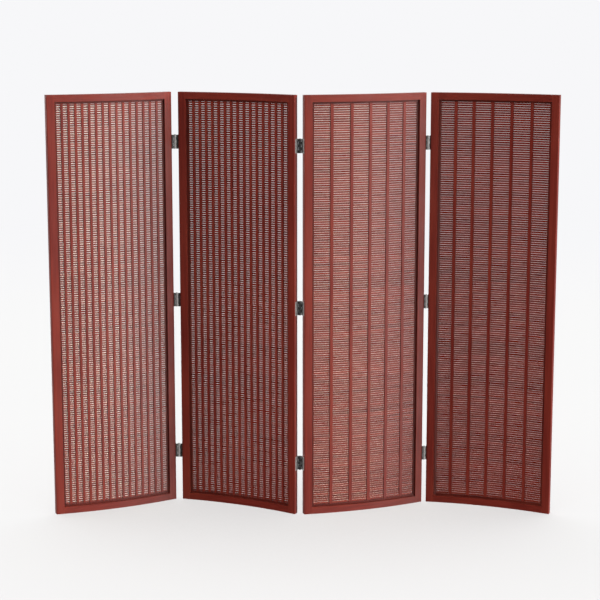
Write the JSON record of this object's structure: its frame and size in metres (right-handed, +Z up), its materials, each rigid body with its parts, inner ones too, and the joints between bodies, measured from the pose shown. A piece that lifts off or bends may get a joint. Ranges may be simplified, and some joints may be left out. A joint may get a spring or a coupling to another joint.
{
  "type": "folding partition wall",
  "caption": "Free-standing folding partition: panels curved in plan, lacquered wood frames with slatted infill behind upright laths, joined by butt hinges.",
  "frame": {"origin": "on the floor under the middle of the open screen as it stands at rest", "axes": "+X along the open screen from panel 1 to panel 4, +Y to its back, +Z up"},
  "size_m": [2.0815, 0.2515, 1.75],
  "materials": {
    "frame_lacquer": "red-brown lacquer, satin gloss",
    "slat_wood": "stained slats, satin",
    "lath_lacquer": "red-brown lacquer, satin gloss",
    "bead_lacquer": "red-brown lacquer, satin",
    "dowel_beech": "bare beech",
    "hinge_steel": "brushed, lightly darkened",
    "pin_steel": "turned",
    "screw_steel": "turned, slotted heads"
  },
  "bodies": {
    "panel_1": {"stile_left_1": "frame_lacquer", "stile_right_1": "frame_lacquer", "rail_bottom_1": "frame_lacquer", "rail_top_1": "frame_lacquer", "dowels_1": "dowel_beech", "slats_1": "slat_wood", "laths_front_1": "lath_lacquer", "beads_front_1": "bead_lacquer", "laths_back_1": "lath_lacquer", "beads_back_1": "bead_lacquer", "hinge_screws_1": "screw_steel", "hinge_leaves_1_2_left": "hinge_steel", "hinge_pins_1_2": "pin_steel"},
    "panel_2": {"stile_left_2": "frame_lacquer", "stile_right_2": "frame_lacquer", "rail_bottom_2": "frame_lacquer", "rail_top_2": "frame_lacquer", "dowels_2": "dowel_beech", "slats_2": "slat_wood", "laths_front_2": "lath_lacquer", "beads_front_2": "bead_lacquer", "laths_back_2": "lath_lacquer", "beads_back_2": "bead_lacquer", "hinge_screws_2": "screw_steel", "hinge_leaves_1_2_right": "hinge_steel", "hinge_leaves_2_3_left": "hinge_steel", "hinge_pins_2_3": "pin_steel"},
    "panel_3": {"stile_left_3": "frame_lacquer", "stile_right_3": "frame_lacquer", "rail_bottom_3": "frame_lacquer", "rail_top_3": "frame_lacquer", "dowels_3": "dowel_beech", "slats_3": "slat_wood", "laths_front_3": "lath_lacquer", "beads_front_3": "bead_lacquer", "laths_back_3": "lath_lacquer", "beads_back_3": "bead_lacquer", "hinge_screws_3": "screw_steel", "hinge_leaves_2_3_right": "hinge_steel", "hinge_leaves_3_4_left": "hinge_steel", "hinge_pins_3_4": "pin_steel"},
    "panel_4": {"stile_left_4": "frame_lacquer", "stile_right_4": "frame_lacquer", "rail_bottom_4": "frame_lacquer", "rail_top_4": "frame_lacquer", "dowels_4": "dowel_beech", "slats_4": "slat_wood", "laths_front_4": "lath_lacquer", "beads_front_4": "bead_lacquer", "laths_back_4": "lath_lacquer", "beads_back_4": "bead_lacquer", "hinge_screws_4": "screw_steel", "hinge_leaves_3_4_right": "hinge_steel"}
  },
  "joints": [
    {"name": "fold_1_2", "type": "hinge", "parent": "panel_1", "child": "panel_2", "pos_m": [-0.53151, 0.10327, 0.875], "axis": [0, 0, -1], "range_deg": [-50, 130]},
    {"name": "fold_2_3", "type": "hinge", "parent": "panel_2", "child": "panel_3", "pos_m": [-0.01128, -0.10024, 0.875], "axis": [0, 0, 1], "range_deg": [-45, 135]},
    {"name": "fold_3_4", "type": "hinge", "parent": "panel_3", "child": "panel_4", "pos_m": [0.5202, 0.05551, 0.875], "axis": [0, 0, -1], "range_deg": [-40, 140]}
  ]
}
